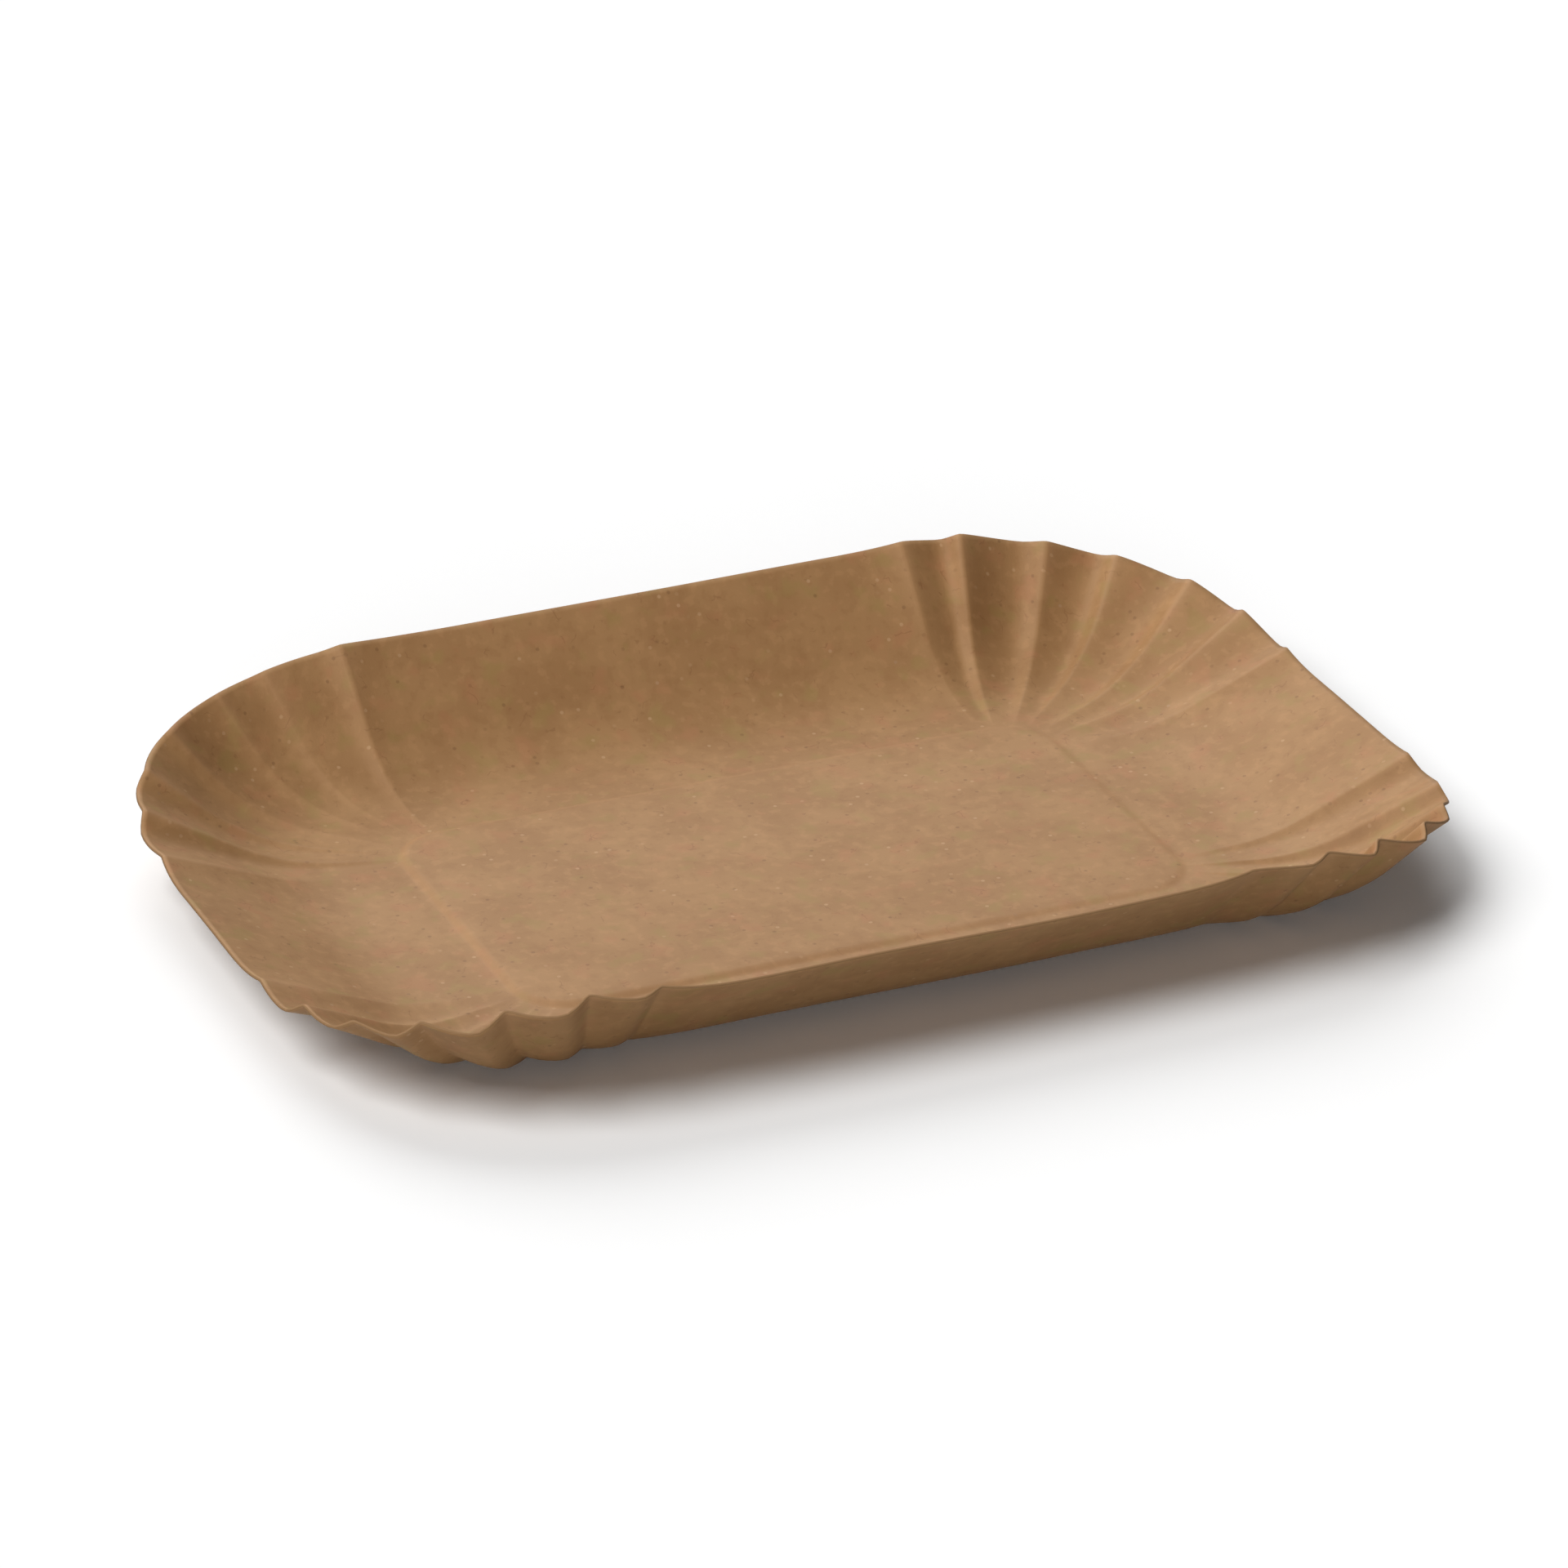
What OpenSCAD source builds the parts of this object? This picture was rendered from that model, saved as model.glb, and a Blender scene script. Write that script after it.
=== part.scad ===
// Pressed paper food tray: one sheet of brown kraft board, shaped over a heated die.
// A flat panel is the floor. Outside its pressed step the board lies as a narrow
// foot, then bends up into two high side walls and two low end walls. At each corner
// the spare board gathers into a fan of pleats, with sharp ridges standing up on the
// inside and round hollows between them.
// Sizes are in millimetres. The origin is the middle of the floor, on the table.
// X runs along the tray and Y across it.

/* [Board] */
// Thickness of the board
board_t = 0.5; // [0.3:0.1:1.2]

/* [Floor] */
// Length of the floor panel, from step to step
floor_l = 129; // [100:1:200]
// Width of the floor panel, from step to step
floor_w = 71; // [56:1:130]
// Corner radius of the floor panel
floor_r = 9; // [4:1:16]
// Height of the floor panel above the foot
step_h = 0.6; // [0.2:0.1:1]
// Width of the step around the floor panel
step_w = 2.5; // [1:0.5:4]

/* [Side walls] */
// Width of the board in a side wall, along its surface from the panel to the rim
side_board_w = 50; // [40:0.5:70]
// Distance from the panel to where the side wall starts to bend up
side_foot = 10; // [5:1:20]
// Radius of the side wall's bend
side_bend_r = 26; // [15:1:60]
// Slope of the side wall at the rim
side_slope = 47; // [30:1:70]

/* [End walls] */
// Width of the board in an end wall, along its surface from the panel to the rim
end_board_w = 51.5; // [40:0.5:70]
// Distance from the panel to where the end wall starts to bend up
end_foot = 14; // [5:1:25]
// Radius of the end wall's bend
end_bend_r = 42; // [25:1:90]
// Slope of the end wall at the rim
end_slope = 21; // [10:1:50]

/* [Corners] */
// Extra width of the board across the middle of a corner
corner_board = 4.5; // [0:0.5:6]
// Extra distance there from the panel to where the wall starts to bend up
corner_foot = 6; // [0:1:10]
// Extra slope there at the rim
corner_slope = 12; // [0:1:18]

/* [Pleats] */
// Number of pleat ridges in each corner
pleats = 7; // [5:1:8]
// Angle between one ridge and the next
pleat_pitch = 15; // [12:1:16]
// Height of a ridge at the rim, above the hollows beside it
pleat_h = 2.2; // [0.5:0.1:4]
// Distance from the panel at which the pleats start
pleat_start = 3; // [1:1:15]
// Roundness of the hollows, from 0 for a plain fold to 1 for a half round
pleat_round = 0.8; // [0:0.1:1]
// Radius, from the centre of the panel's corner, at which outer ridges keep their pitch
pleat_spread = 54; // [30:1:70]

/* [Hidden] */

// One quarter of the tray, with X and Y positive, is worked out, and signs place it
signs = [[1, 1], [-1, 1], [-1, -1], [1, -1]];
corners = len(signs);
quarter_turn = 90;
half_turn = 180;
radian = half_turn / PI;

// Centre of the panel's corner
centre_x = floor_l / 2 - floor_r;
centre_y = floor_w / 2 - floor_r;

// Stations go round the tray, so many to each pleat. Spare ones before the first ridge
// and after the last let the wall turn flat again, and reach past the corner's turn
pleat_steps = 6;
fade = 0.8;
turn_left = quarter_turn / pleat_pitch - (pleats - 1);
spare_steps = max(pleat_steps, ceil((turn_left + 1) / 2 * pleat_steps));
fan_steps = (pleats - 1) * pleat_steps + 2 * spare_steps;
stations = corners * (fan_steps + 1);

// Rings go out along the board: over the step first, then evenly to the rim
step_rings = 2;
wall_rings = 9;
last_ring = step_rings + wall_rings;
rings = last_ring + 1;

// A station that is turned below 0 or past 90 degrees stands on the straight wall. The
// stations of two corners share that wall and leave its middle plain
straight_share = 0.9;
overrun = max(-fan_turn(-spare_steps / pleat_steps), 1);
spread_x = min(pleat_spread / radian, centre_x * straight_share / overrun);
spread_y = min(pleat_spread / radian, centre_y * straight_share / overrun);

// Angle of a pleat place, where 0 is the first ridge and a half is the hollow after it
function fan_turn(place) = quarter_turn / 2 + (place - (pleats - 1) / 2) * pleat_pitch;

// Angle of the wall itself, which stops turning at the straight walls
function wall_turn(turn) = min(max(turn, 0), quarter_turn);

// Point of the panel's edge for an angle of the fan
function panel_edge(turn) =
    turn < 0 ? [floor_l / 2, centre_y + turn * spread_y]
    : turn > quarter_turn ? [centre_x - (turn - quarter_turn) * spread_x, floor_w / 2]
    : [centre_x + floor_r * cos(turn), centre_y + floor_r * sin(turn)];

// A size that changes smoothly from the end wall to the side wall round the corner, with
// something extra in the corner's middle
function round_corner(at_end, at_side, in_corner, turn) =
    at_end + (at_side - at_end) * pow(sin(wall_turn(turn)), 2)
    + in_corner * pow(sin(2 * wall_turn(turn)), 2);

// Section of a wall at distance s along the board: how far out, how far up, and its slope
function wall_section(s, foot, bend_r, slope) =
    let (bend = min(max(s - foot, 0) / bend_r * radian, slope))
    let (straight = max(s - foot - bend_r * slope / radian, 0))
    [min(s, foot) + bend_r * sin(bend) + straight * cos(slope),
     bend_r * (1 - cos(bend)) + straight * sin(slope),
     bend];

// Height of the step that holds the panel off the table
function step_up(s) = s < step_w ? step_h * (1 + cos(half_turn * s / step_w)) / 2 : 0;

// Pleats: 1 on a ridge, 0 in a hollow, and fading to 0 past the outer ridges
function pleat_wave(place) =
    let (past = max(-place, place - (pleats - 1)))
    let (fold = 1 - abs(2 * (place - floor(place)) - 1))
    let (arch = abs(sin(half_turn * place)))
    past > 0 ? pow(max(1 - past / fade, 0), 2)
    : 1 - pleat_round * arch - (1 - pleat_round) * fold;

// Distance along the board for a ring
function ring_at(ring, board_w) =
    ring <= step_rings ? step_w * ring / step_rings
    : step_w + (board_w - step_w) * (ring - step_rings) / wall_rings;

// A point of the tray, where lift is 0 on the underside and board_t on the inside
function tray_point(corner, place, ring, lift) =
    let (turn = fan_turn(place))
    let (board_w = round_corner(end_board_w, side_board_w, corner_board, turn))
    let (s = ring_at(ring, board_w))
    let (wall = wall_section(
        s,
        round_corner(end_foot, side_foot, corner_foot, turn),
        round_corner(end_bend_r, side_bend_r, 0, turn),
        round_corner(end_slope, side_slope, corner_slope, turn)))
    let (growth = max(s - pleat_start, 0) / (board_w - pleat_start))
    let (raised = lift + pleat_h * growth * pleat_wave(place))
    let (out = wall[0] - raised * sin(wall[2]))
    let (edge = panel_edge(turn))
    [signs[corner][0] * (edge[0] + out * cos(wall_turn(turn))),
     signs[corner][1] * (edge[1] + out * sin(wall_turn(turn))),
     wall[1] + raised * cos(wall[2]) + step_up(s)];

// Every other corner is mirrored, so its stations run the other way round
function station_place(corner, i) =
    ((corner % 2 == 0 ? i : fan_steps - i) - spare_steps) / pleat_steps;

function skin(lift) = [
    for (ring = [0 : last_ring])
        for (corner = [0 : corners - 1])
            for (i = [0 : fan_steps])
                tray_point(corner, station_place(corner, i), ring, lift)
];

// Both skins' points are in one list, the underside (0) first and the inside (1) next,
// with the middle points of the panel after them
function number(side, ring, i) = (side * rings + ring) * stations + i % stations;
function middle_number(side) = 2 * rings * stations + side;
panel_middle = [[0, 0, step_h], [0, 0, step_h + board_t]];

underside_faces = [
    for (ring = [0 : last_ring - 1])
        for (i = [0 : stations - 1])
            for (tri = [
                [number(0, ring, i), number(0, ring + 1, i), number(0, ring + 1, i + 1)],
                [number(0, ring, i), number(0, ring + 1, i + 1), number(0, ring, i + 1)]])
                tri
];
inside_faces = [
    for (ring = [0 : last_ring - 1])
        for (i = [0 : stations - 1])
            for (tri = [
                [number(1, ring, i), number(1, ring, i + 1), number(1, ring + 1, i + 1)],
                [number(1, ring, i), number(1, ring + 1, i + 1), number(1, ring + 1, i)]])
                tri
];
rim_faces = [
    for (i = [0 : stations - 1])
        for (tri = [
            [number(1, last_ring, i), number(1, last_ring, i + 1), number(0, last_ring, i + 1)],
            [number(1, last_ring, i), number(0, last_ring, i + 1), number(0, last_ring, i)]])
            tri
];
panel_faces = [
    for (i = [0 : stations - 1])
        for (tri = [
            [number(0, 0, i), number(0, 0, i + 1), middle_number(0)],
            [number(1, 0, i + 1), number(1, 0, i), middle_number(1)]])
            tri
];

module tray() {
    color("#af8c6a")
        polyhedron(
            points = concat(skin(0), skin(board_t), panel_middle),
            faces = concat(panel_faces, underside_faces, inside_faces, rim_faces),
            convexity = 12
        );
}

tray();
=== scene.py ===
import math

import bmesh
import bpy
from mathutils import Matrix, Vector, noise


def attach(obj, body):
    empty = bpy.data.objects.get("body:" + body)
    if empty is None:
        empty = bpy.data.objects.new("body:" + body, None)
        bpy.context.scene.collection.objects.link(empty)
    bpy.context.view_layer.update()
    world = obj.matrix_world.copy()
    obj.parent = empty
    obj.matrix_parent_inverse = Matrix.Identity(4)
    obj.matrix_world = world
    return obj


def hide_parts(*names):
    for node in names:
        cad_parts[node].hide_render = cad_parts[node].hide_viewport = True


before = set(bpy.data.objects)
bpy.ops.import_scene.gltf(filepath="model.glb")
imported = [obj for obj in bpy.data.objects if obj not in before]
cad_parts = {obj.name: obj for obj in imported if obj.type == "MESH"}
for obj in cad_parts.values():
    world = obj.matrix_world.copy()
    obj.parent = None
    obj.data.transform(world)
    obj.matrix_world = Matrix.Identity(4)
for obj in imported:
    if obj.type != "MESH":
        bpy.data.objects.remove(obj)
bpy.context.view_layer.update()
scene = bpy.context.scene
scene.view_settings.view_transform = "Standard"

# Camera: a long lens from the front, a little to the left, that looks down into the
# tray. The picture's middle lies beside and above the tray's origin by picture_middle.
mm = 0.001
camera_turn = math.radians(-23.3)
camera_rise = math.radians(26.3)
camera_distance = 1.5
picture_pixels = 1920
pixels_per_mm = 6.64
picture_middle = (-1.45 * mm, 14.9 * mm)
camera_data = bpy.data.cameras.new("camera")
camera_data.sensor_width = 36
camera_data.lens = (
    pixels_per_mm / mm * camera_distance / picture_pixels * camera_data.sensor_width
)
camera = bpy.data.objects.new("camera", camera_data)
camera.matrix_world = (
    Matrix.Rotation(camera_turn, 4, "Z")
    @ Matrix.Rotation(math.radians(90) - camera_rise, 4, "X")
    @ Matrix.Translation((*picture_middle, camera_distance))
)
scene.collection.objects.link(camera)
scene.camera = camera


# Floor: a plain white studio table. Its white comes from its colour, and all light but
# the camera's own meets a duller white, so that little of it bounces up on the tray.
def linear(hex_colour):
    """The linear colour of an sRGB hex value, with its alpha."""
    values = [int(hex_colour[i : i + 2], 16) / 255 for i in (1, 3, 5)]
    return (
        *(v / 12.92 if v <= 0.04045 else ((v + 0.055) / 1.055) ** 2.4 for v in values),
        1,
    )


def add(material, kind, inputs=None, **settings):
    """Adds a node with its settings, and its inputs from values or other nodes' outputs."""
    made = material.node_tree.nodes.new("ShaderNode" + kind)
    for name, value in settings.items():
        setattr(made, name, value)
    for name, value in (inputs or {}).items():
        if isinstance(value, bpy.types.NodeSocket):
            material.node_tree.links.new(value, made.inputs[name])
        else:
            made.inputs[name].default_value = value
    return made


def new_material(name):
    """A material with no nodes but its output."""
    made = bpy.data.materials.new(name)
    made.use_nodes = True
    made.node_tree.nodes.clear()
    made.node_tree.nodes.new("ShaderNodeOutputMaterial")
    return made


floor_half = 4
white_table = new_material("white_table")
ray = add(white_table, "LightPath")
seen = add(
    white_table, "Math", {0: ray.outputs["Is Camera Ray"], 1: ray.outputs["Is Glossy Ray"]},
    operation="MAXIMUM",
)
seen = add(
    white_table, "Math", {0: seen.outputs[0], 1: ray.outputs["Is Transmission Ray"]},
    operation="MAXIMUM",
)
table_white = add(
    white_table, "MixRGB",
    {"Fac": seen.outputs[0], "Color1": linear("#b0b0b0"), "Color2": linear("#ffffff")},
)
table_surface = add(white_table, "BsdfDiffuse", {"Color": table_white.outputs["Color"]})
white_table.node_tree.links.new(
    table_surface.outputs["BSDF"], white_table.node_tree.nodes["Material Output"].inputs["Surface"]
)
table = bmesh.new()
bmesh.ops.create_grid(table, x_segments=1, y_segments=1, size=floor_half)
table_mesh = bpy.data.meshes.new("floor")
table.to_mesh(table_mesh)
table.free()
table_mesh.materials.append(white_table)
floor = bpy.data.objects.new("floor", table_mesh)
scene.collection.objects.link(floor)

# Light: wide soft lamps behind the tray, at its left and low at its front, and a dim white
# room. Together they give a level surface the strength at which its colour renders as
# written. Each lamp has its turn from +X, its height and its width in degrees, and its
# share of the light.
room_share = 0.05
soft_lamps = {
    "back_lamp": (80, 38, 42, 0.5),
    "left_lamp": (177, 54, 42, 0.75),
    "front_lamp": (242, 8, 36, 0.38),
}
for name, (turn, rise, width, share) in soft_lamps.items():
    toward = Vector((
        math.cos(math.radians(turn)) * math.cos(math.radians(rise)),
        math.sin(math.radians(turn)) * math.cos(math.radians(rise)),
        math.sin(math.radians(rise)),
    ))
    lamp = bpy.data.lights.new(name, "SUN")
    lamp.angle = math.radians(width)
    lamp.energy = share * math.pi
    lamp_object = bpy.data.objects.new(name, lamp)
    lamp_object.rotation_euler = toward.to_track_quat("Z", "Y").to_euler()
    scene.collection.objects.link(lamp_object)
room = bpy.data.worlds.new("room")
room.use_nodes = True
room.node_tree.nodes["Background"].inputs["Color"].default_value = (1, 1, 1, 1)
room.node_tree.nodes["Background"].inputs["Strength"].default_value = room_share
scene.world = room

# Tray: one sheet of uncoated brown kraft board, 0.5 mm thick, cut to an oblong with
# rounded corners. A heated die pressed it, with a low panel as the floor and a fan of
# pleats in each corner, where the sheet had too much board for the turn.
board_t = 0.5 * mm
floor_length = 129 * mm
floor_width = 71 * mm
floor_radius = 9 * mm
step_height = 0.6 * mm
step_width = 2.5 * mm
side_wall = {"board": 50 * mm, "foot": 10 * mm, "bend": 26 * mm, "slope": 47}
end_wall = {"board": 51.5 * mm, "foot": 14 * mm, "bend": 42 * mm, "slope": 21}
corner_extra = {"board": 4.5 * mm, "foot": 6 * mm, "bend": 0, "slope": 12}
pleats = 7
pleat_pitch = 15
pleat_height = 2.2 * mm
pleat_start = 3 * mm
pleat_spread = 54 * mm
pleat_round = 0.8
pleat_fade = 1.3
centre_x = floor_length / 2 - floor_radius
centre_y = floor_width / 2 - floor_radius
corners = ((1, 1), (-1, 1), (-1, -1), (1, -1))

# The sheet slips a little in the die, so in each corner the ridges stand a few degrees
# off their even places and differ in height. Both lists go from end wall to side wall.
ridge_turns = {
    (1, 1): (-3, -2, -3, -2, -3, 1, 0),
    (-1, 1): (-1, 0, -1, -2, -3, -7, -5),
    (-1, -1): (0, 1, -1, -3, -3, -2, -2),
    (1, -1): (0, 2, 0, -2, -2, -4, -1),
}
ridge_heights = {
    (1, 1): (0.8, 1.1, 1.2, 1.2, 1.4, 1.5, 0.9),
    (-1, 1): (0.8, 1, 0.8, 0.5, 0.35, 0.35, 0.7),
    (-1, -1): (0.7, 1, 0.8, 1.3, 1.6, 1.2, 0.7),
    (1, -1): (0.8, 1, 1, 1.3, 1.3, 0.9, 0.5),
}

# Nor is a ridge even: its left flank is steep and the other runs out slowly. So a hollow
# is deepest at this share of the way from its ridge to the next
hollow_places = {(1, 1): 0.32, (-1, 1): 0.72, (-1, -1): 0.7, (1, -1): 0.28}

# As it dried, the sheet also let the rim sink a little at three corners, and let the
# front rim bow out
corner_lifts = {(1, 1): -1.6 * mm, (-1, 1): -1 * mm, (-1, -1): -0.3 * mm, (1, -1): 0}
front_bow = 0.9 * mm

# Nor does the panel lie quite level: this share of its step is gone at the right end, and
# added at the left end
panel_lean = 0.35

# Cuts across the sheet's rings lie close together at a ridge, where the fold is tight.
# Toward a side wall's middle there are more of them than toward an end wall's
pleat_cuts = (0, 0.03, 0.08, 0.16, 0.26, 0.38, 0.5, 0.62, 0.74, 0.84, 0.92, 0.97)
fold_round = 0.03
place_length = math.radians(pleat_pitch) * pleat_spread
end_cuts = 5
side_cuts = 15
floor_rings = 9
step_rings = 5
wall_rings = 44

# A real sheet is never quite even, so its walls wander up and down in long low waves
wave_size = 35 * mm
wave_depth = 0.5 * mm

# The painted highlight over the step, a pale line for the light that the step catches, is
# strongest in the step's middle, and gone this far from it
step_middle = 1.5
step_reach = 0.7


def quarter_places():
    """Pleat places of the cuts in a quarter of the tray, from end wall to side wall."""
    first = -centre_y / place_length
    last = pleats - 1 + centre_x / place_length
    on_end = [first + (-1 - first) * i / end_cuts for i in range(end_cuts)]
    on_fan = [pleat + cut for pleat in range(-1, pleats) for cut in pleat_cuts]
    on_side = [pleats + (last - pleats) * i / side_cuts for i in range(side_cuts + 1)]
    return on_end + on_fan + on_side


def cut_places():
    """Corner and pleat place of every cut, once round the tray."""
    quarter = quarter_places()
    places = []
    for number, corner in enumerate(corners):
        run = quarter if number % 2 == 0 else quarter[::-1]
        places += [(corner, place) for place in run[:-1]]
    return places


def between(values, place):
    """The value at a pleat place, where the list gives one for each ridge."""
    padded = (0, *values, 0)
    spot = min(max(place + 1, 0), len(padded) - 1)
    low = min(int(spot), len(padded) - 2)
    return padded[low] + (padded[low + 1] - padded[low]) * (spot - low)


def pleat_wave(place, hollow):
    """1 on a ridge, 0 in a hollow, and fading to 0 past the outer ridges."""
    past = max(-place, place - (pleats - 1))
    if past > 0:
        return max(1 - past / pleat_fade, 0) ** 2
    after = place % 1
    near = after / hollow / 2 if after < hollow else (1 - after) / (1 - hollow) / 2
    fold = math.sqrt(near**2 + fold_round**2) - fold_round
    return 1 - pleat_round * math.sin(math.pi * fold) - (1 - pleat_round) * 2 * fold


def wall_section(s, foot, bend, slope):
    """How far out and up the wall is at s along the board, and the angle of its bend."""
    angle = min(max(s - foot, 0) / bend, slope)
    straight = max(s - foot - bend * slope, 0)
    out = min(s, foot) + bend * math.sin(angle) + straight * math.cos(slope)
    up = bend * (1 - math.cos(angle)) + straight * math.sin(slope)
    return out, up, angle


def panel_edge(turn):
    """Point of the floor panel's edge, in the quarter where X and Y are positive."""
    if turn < 0:
        return floor_length / 2, centre_y + math.radians(turn) * pleat_spread
    if turn > 90:
        return centre_x - math.radians(turn - 90) * pleat_spread, floor_width / 2
    angle = math.radians(turn)
    return centre_x + floor_radius * math.cos(angle), centre_y + floor_radius * math.sin(angle)


def sheet_point(corner, place, share):
    """Flat and pressed places of a point, and how far it is up a ridge and up the wall.

    Share is 0 in the middle of the panel, 1 at its edge, 2 at the foot of the step and 3
    at the rim."""
    turn = (
        45 + (place - (pleats - 1) / 2) * pleat_pitch + between(ridge_turns[corner], place)
    )
    around = math.radians(min(max(turn, 0), 90))
    to_side = math.sin(around) ** 2
    in_corner = math.sin(2 * around) ** 2
    size = {
        key: end_wall[key]
        + (side_wall[key] - end_wall[key]) * to_side
        + corner_extra[key] * in_corner
        for key in end_wall
    }
    board = size["board"]
    edge_x, edge_y = panel_edge(turn)
    lean = panel_lean * corner[0] * edge_x / floor_length * 2
    if share <= 1:
        flat = Vector((corner[0] * edge_x * share, corner[1] * edge_y * share))
        return flat, Vector((*flat, step_height * (1 - lean * share))), 0, 0
    s = (share - 1) * step_width if share <= 2 else step_width + (board - step_width) * (share - 2)
    out, up, angle = wall_section(s, size["foot"], size["bend"], math.radians(size["slope"]))
    growth = max(s - pleat_start, 0) / (board - pleat_start)
    rise = max(s - size["foot"], 0) / (board - size["foot"])
    wave = pleat_wave(place, hollow_places[corner])
    raised = pleat_height * between(ridge_heights[corner], place) * growth * wave
    out -= raised * math.sin(angle)
    up += raised * math.cos(angle) + corner_lifts[corner] * in_corner * rise**2
    if corner[1] < 0:
        out += front_bow * to_side * rise**2 * math.cos(math.pi / 2 * min(edge_x / centre_x, 1))
    if s < step_width:
        up += step_height * (1 - lean) * (1 + math.cos(math.pi * s / step_width)) / 2
    direction = Vector((corner[0] * math.cos(around), corner[1] * math.sin(around)))
    edge = Vector((corner[0] * edge_x, corner[1] * edge_y))
    pressed = edge + direction * out
    return edge + direction * s, Vector((*pressed, up)), wave * growth, rise


def wander(place, size, depth):
    """A smooth height that differs from place to place."""
    return noise.noise(Vector((*place, 0)) / size) * depth


places = cut_places()
sheet = bmesh.new()
cut_number = sheet.verts.layers.int.new("cut_number")
ring_share = sheet.verts.layers.float.new("ring_share")
ridge_line = sheet.verts.layers.float.new("ridge_line")
step_highlight_line = sheet.verts.layers.float.new("step_highlight_line")
board_map = sheet.loops.layers.uv.new("board")
for number, vert in enumerate(
    bmesh.ops.create_circle(sheet, segments=len(places), radius=floor_radius)["verts"]
):
    vert[cut_number] = number
    vert[ring_share] = 1 / floor_rings
shares = [i / floor_rings for i in range(2, floor_rings + 1)]
shares += [1 + i / step_rings for i in range(1, step_rings + 1)]
shares += [2 + i / wall_rings for i in range(1, wall_rings + 1)]
hub_edges = list(sheet.edges)
rim_edges = hub_edges
for share in shares:
    grown = bmesh.ops.extrude_edge_only(sheet, edges=rim_edges)["geom"]
    rim_edges = [part for part in grown if isinstance(part, bmesh.types.BMEdge)]
    for vert in (part for part in grown if isinstance(part, bmesh.types.BMVert)):
        vert[ring_share] = share
hub = bmesh.ops.contextual_create(sheet, geom=hub_edges)["faces"]
middle = bmesh.ops.poke(sheet, faces=hub)["verts"][0]
middle[ring_share] = 0

# The press: each point of the flat sheet goes to its pressed place, and keeps its flat
# place as its UV, in metres, for the board's fibres
flat_places = {}
for vert in sheet.verts:
    corner, place = places[vert[cut_number]]
    flat, pressed, ridge, rise = sheet_point(corner, place, vert[ring_share])
    vert[ridge_line] = ridge
    # Painted highlight: a pale line over the step, where the step catches the light
    vert[step_highlight_line] = max(1 - abs(vert[ring_share] - step_middle) / step_reach, 0)
    flat_places[vert] = flat
    vert.co = pressed + Vector((0, 0, rise * wander(flat, wave_size, wave_depth)))
for face in sheet.faces:
    for loop in face.loops:
        loop[board_map].uv = flat_places[loop.vert]
bmesh.ops.recalc_face_normals(sheet, faces=sheet.faces)
if middle.normal.z < 0:
    bmesh.ops.reverse_faces(sheet, faces=sheet.faces)
for face in sheet.faces:
    face.smooth = True
tray_mesh = bpy.data.meshes.new("pressed_tray")
sheet.to_mesh(tray_mesh)
sheet.free()
tray = bpy.data.objects.new("pressed_tray", tray_mesh)
scene.collection.objects.link(tray)
thickness = tray.modifiers.new("board", "SOLIDIFY")
thickness.thickness = board_t
thickness.offset = 1
thickness.use_even_offset = True
thickness.use_rim = True
thickness.material_offset_rim = 1

# Uncoated kraft board: short brown wood fibres, felted and pressed flat with no gloss.
# The eye gets a soft cloudy tan whose hue strays a little to pink and to olive, thin
# darker fibres, small dark and pale specks, and a fine tooth where light grazes it.
kraft_board = new_material("uncoated_kraft_board")
sheet_place = add(kraft_board, "UVMap", uv_map="board").outputs["UV"]

# Soft patterns over the flat board: two sizes of cloud, patches of another hue, what bends
# and breaks the fibres, and the tooth. Each has its size, its detail and its dimensions
noises = {
    "cloud": (16 * mm, 2, "2D"),
    "mottle": (2.6 * mm, 3, "2D"),
    "hue_patch": (7 * mm, 2, "3D"),
    "fibre_bend": (3 * mm, 2, "2D"),
    "fibre_part": (3.5 * mm, 2, "3D"),
    "tooth": (0.5 * mm, 3, "2D"),
}
for name, (size, detail, dimensions) in noises.items():
    noises[name] = add(
        kraft_board, "TexNoise",
        {"Vector": sheet_place, "Scale": 1 / size, "Detail": detail},
        noise_dimensions=dimensions,
    ).outputs
cloud = noises["cloud"]["Fac"]
mottle = noises["mottle"]["Fac"]
hue_patch = noises["hue_patch"]["Fac"]
fibre_part = noises["fibre_part"]["Fac"]

# Fibres: thin bent lines a few millimetres long, along the edges between cells that a noise
# pushes sideways by fibre_sway at most
fibre_size = 5 * mm
fibre_sway = 4 * mm
fibre_shift = add(
    kraft_board, "VectorMath",
    {0: noises["fibre_bend"]["Color"], 1: (fibre_sway, fibre_sway, 0)},
    operation="MULTIPLY",
)
fibre_place = add(
    kraft_board, "VectorMath", {0: fibre_shift.outputs[0], 1: sheet_place}, operation="ADD"
)
fibre = add(
    kraft_board, "TexVoronoi", {"Vector": fibre_place.outputs[0], "Scale": 1 / fibre_size},
    voronoi_dimensions="2D", feature="DISTANCE_TO_EDGE",
).outputs["Distance"]

# Specks: one to a cell, smaller than a millimetre, and each cell's own colour picks the few
# that show
speck_spacing = 2.4 * mm
speck_cells = add(
    kraft_board, "TexVoronoi", {"Vector": sheet_place, "Scale": 1 / speck_spacing},
    voronoi_dimensions="2D",
)
speck = speck_cells.outputs["Distance"]
speck_kind = add(kraft_board, "SeparateColor", {"Color": speck_cells.outputs["Color"]})
# Crest mask, for crests painted paler: partly rubbing, partly a painted highlight
crest_rub_and_highlight = add(kraft_board, "Attribute", attribute_name="ridge_line").outputs["Fac"]
# Mask of the step's painted highlight
painted_step_highlight = add(kraft_board, "Attribute", attribute_name="step_highlight_line").outputs["Fac"]

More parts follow.
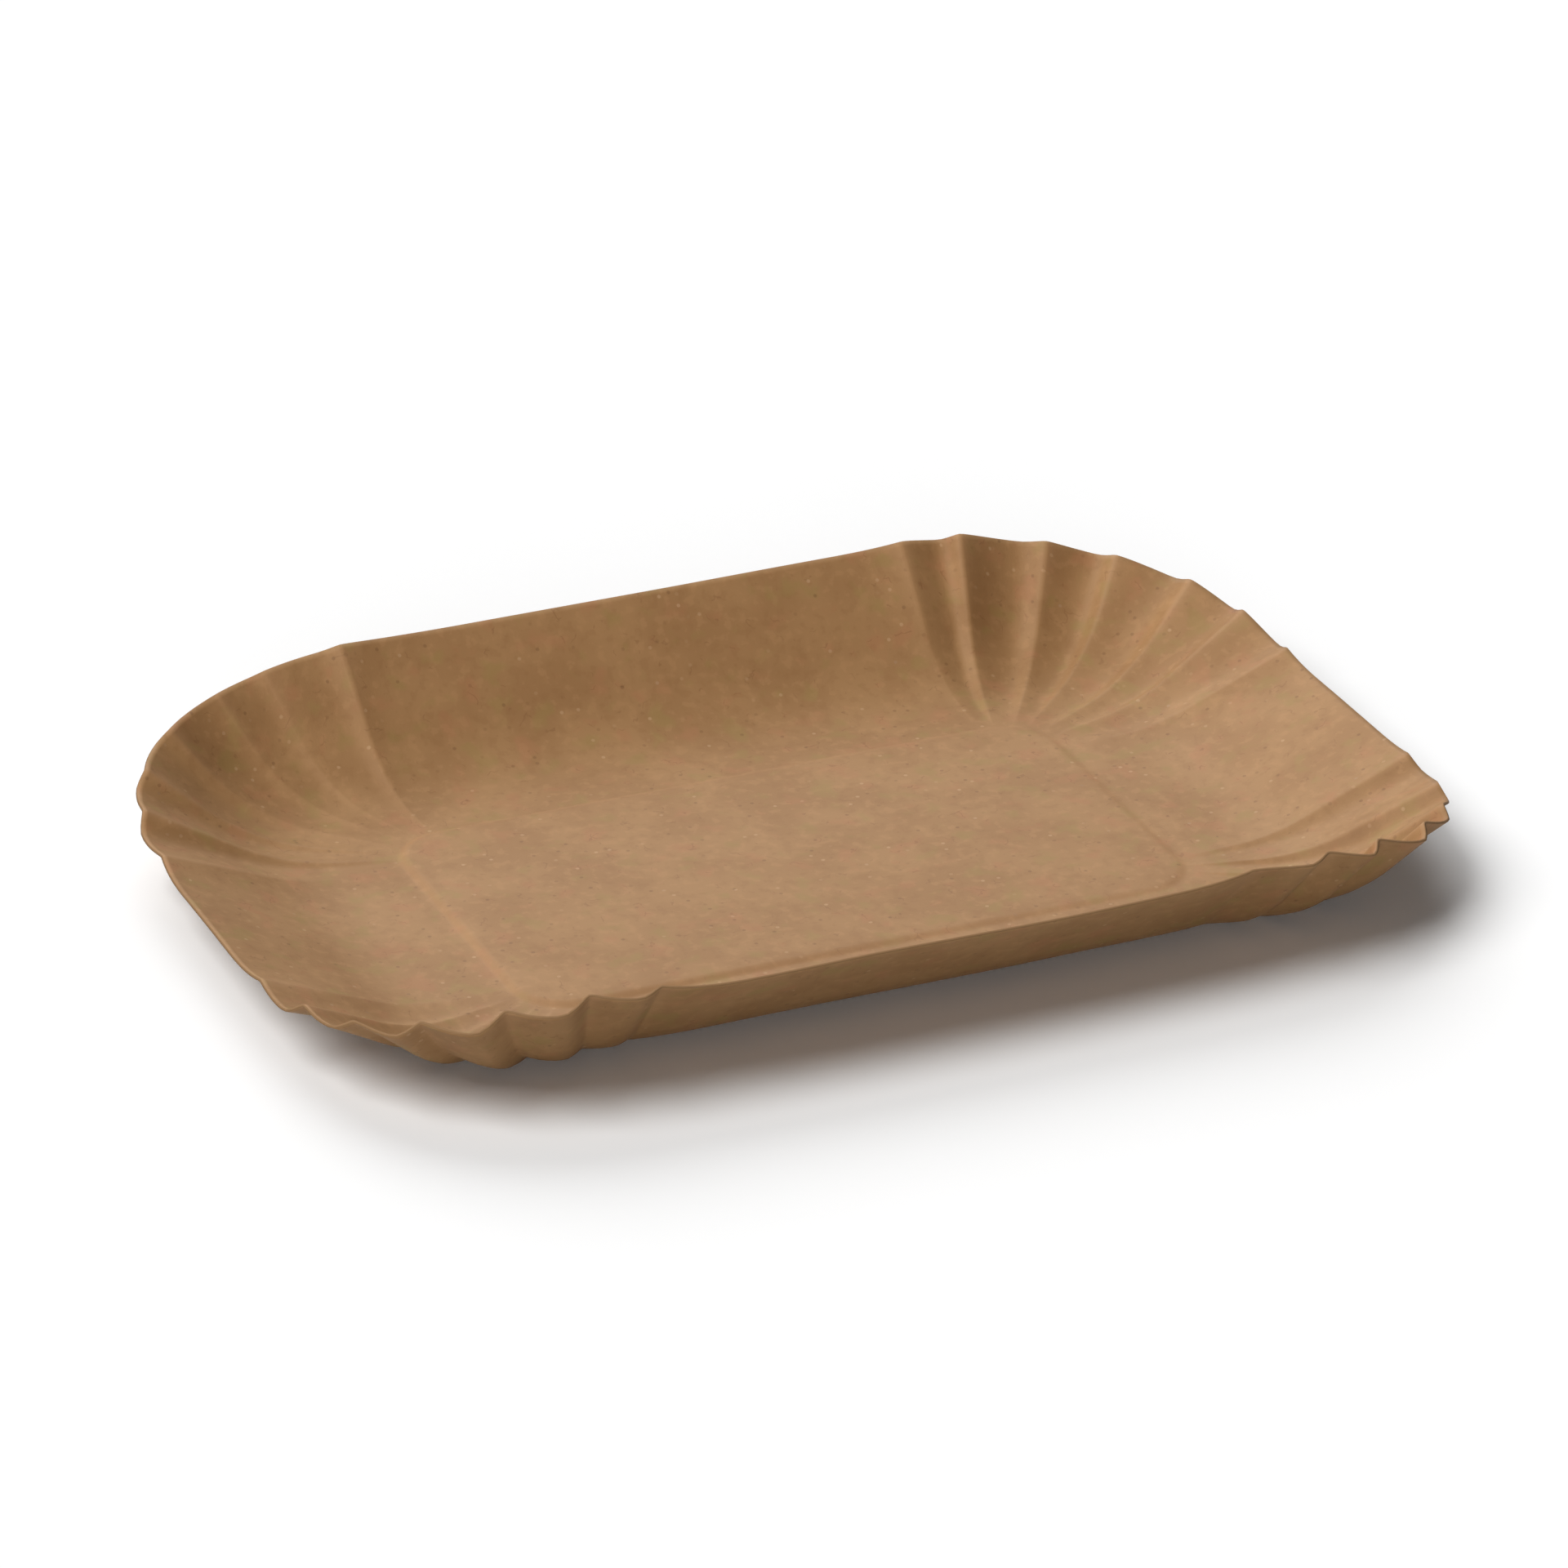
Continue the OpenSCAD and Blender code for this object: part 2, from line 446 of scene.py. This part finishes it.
# Tones laid over the board's own one by one, each with its colour, its share at most, and
# the patterns that hold it back: a pattern, where it lets none through, and where all
board_tone = "#a0774b"
tones = (
    ("#a87f52", 1, ((cloud, 0.35, 0.65),)),
    ("#946a40", 0.28, ((mottle, 0.46, 0.3),)),
    ("#b68a5c", 0.35, ((mottle, 0.54, 0.7),)),
    # Waste paper in the pulp, a little toward olive and a little toward pink
    ("#9c8049", 0.5, ((hue_patch, 0.44, 0.3),)),
    ("#af7851", 0.4, ((hue_patch, 0.56, 0.7),)),
    # Fibres, then specks of bark and of bleached pulp
    ("#7a5230", 0.3, ((fibre, 0.04, 0.015), (fibre_part, 0.58, 0.64))),
    ("#6e4a2c", 0.4, ((speck, 0.2, 0.1), (speck_kind.outputs["Red"], 0.88, 1))),
    ("#cfab82", 0.4, ((speck, 0.2, 0.1), (speck_kind.outputs["Green"], 0.93, 1))),
    # Crests painted paler, partly where folding rubbed them and partly a painted highlight for the
    # light that their crisp folds catch
    ("#b88d63", 0.35, ((crest_rub_and_highlight, 0.55, 1),)),
    # A painted highlight over the step: a pale line where the step catches the light
    ("#bb8f66", 0.2, ((painted_step_highlight, 0, 1),)),
)
tone = linear(board_tone)
for colour, share, masks in tones:
    for value, none, full in masks:
        share = add(
            kraft_board, "MapRange",
            {"Value": value, "From Min": none, "From Max": full, "To Min": 0, "To Max": share},
            interpolation_type="SMOOTHSTEP",
        ).outputs["Result"]
    tone = add(
        kraft_board, "MixRGB", {"Fac": share, "Color1": tone, "Color2": linear(colour)}
    ).outputs["Color"]

felt = add(
    kraft_board, "Bump",
    {"Height": noises["tooth"]["Fac"], "Strength": 0.3, "Distance": 0.05 * mm},
)
hills = add(
    kraft_board, "Bump",
    {
        "Height": mottle, "Strength": 0.4, "Distance": 0.08 * mm,
        "Normal": felt.outputs["Normal"],
    },
)
board_surface = add(
    kraft_board, "BsdfPrincipled",
    {"Base Color": tone, "Roughness": 0.66, "IOR": 1.45, "Normal": hills.outputs["Normal"]},
)
kraft_board.node_tree.links.new(
    board_surface.outputs["BSDF"],
    kraft_board.node_tree.nodes["Material Output"].inputs["Surface"],
)

# Cut edge of the same board: the die's knife leaves it smooth. It is coloured darker than the face
# as painted shade, so that the lamps do not light the rim to a pale line
cut_edge = new_material("cut_edge_of_kraft_board")
edge_surface = add(
    cut_edge, "BsdfPrincipled",
    {"Base Color": linear("#916e48"), "Roughness": 0.8, "IOR": 1.45},
)
cut_edge.node_tree.links.new(
    edge_surface.outputs["BSDF"], cut_edge.node_tree.nodes["Material Output"].inputs["Surface"]
)
tray_mesh.materials.append(kraft_board)
tray_mesh.materials.append(cut_edge)
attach(tray, "root")
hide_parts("tray")
